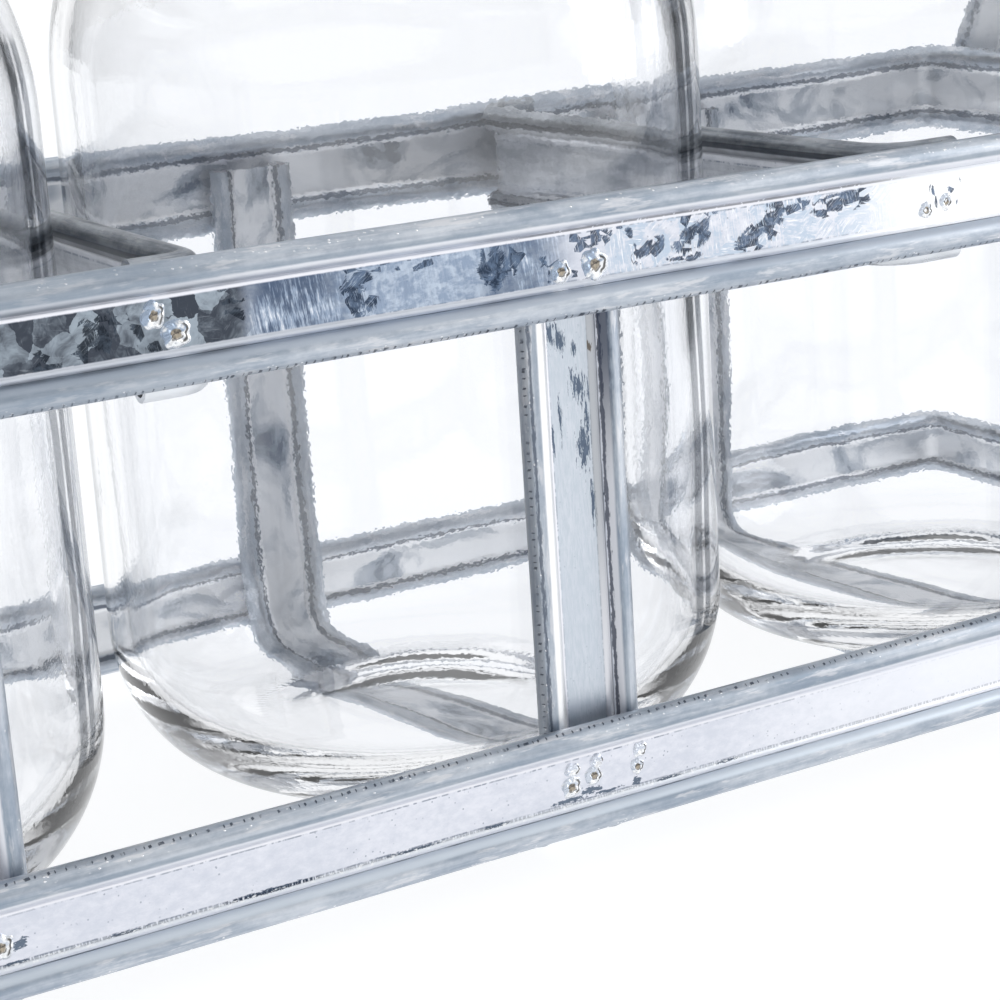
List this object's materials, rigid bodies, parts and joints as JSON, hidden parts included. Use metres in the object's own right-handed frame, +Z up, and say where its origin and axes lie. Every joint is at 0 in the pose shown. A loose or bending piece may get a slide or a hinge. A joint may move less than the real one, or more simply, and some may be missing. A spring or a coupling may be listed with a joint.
{
  "type": "glass jar caddy",
  "caption": "Galvanised metal strap caddy with raised end handles that holds clear glass jars side by side between upper and lower bands.",
  "frame": {"origin": "centre of the footprint on the surface that the caddy stands on", "axes": "+X along the row of jars towards the handle seen in the picture, +Y from the pictured long side to the back, +Z up"},
  "size_m": [0.371, 0.1304, 0.1748],
  "materials": {
    "galvanised_steel": "galvanised zinc, satin, with dull patches and scorched weld spots",
    "clear_glass": "clear, thick, slightly wavy"
  },
  "bodies": {
    "caddy_frame": {"upper_band": "galvanised_steel", "lower_band": "galvanised_steel", "strap_left": "galvanised_steel", "strap_middle": "galvanised_steel", "strap_right": "galvanised_steel", "divider_left": "galvanised_steel", "divider_right": "galvanised_steel", "handle_left_front_leg": "galvanised_steel", "handle_left_back_leg": "galvanised_steel", "handle_left_grip": "galvanised_steel", "handle_right_front_leg": "galvanised_steel", "handle_right_back_leg": "galvanised_steel", "handle_right_grip": "galvanised_steel"},
    "left_jar": {"jar_left": "clear_glass"},
    "middle_jar": {"jar_middle": "clear_glass"},
    "right_jar": {"jar_right": "clear_glass"}
  },
  "joints": [
    {"name": "lift_left_jar", "type": "slide", "parent": "caddy_frame", "child": "left_jar", "axis": [0, 0, 1], "range_m": [0, 0.115]},
    {"name": "lift_middle_jar", "type": "slide", "parent": "caddy_frame", "child": "middle_jar", "axis": [0, 0, 1], "range_m": [0, 0.115]},
    {"name": "lift_right_jar", "type": "slide", "parent": "caddy_frame", "child": "right_jar", "axis": [0, 0, 1], "range_m": [0, 0.115]}
  ]
}
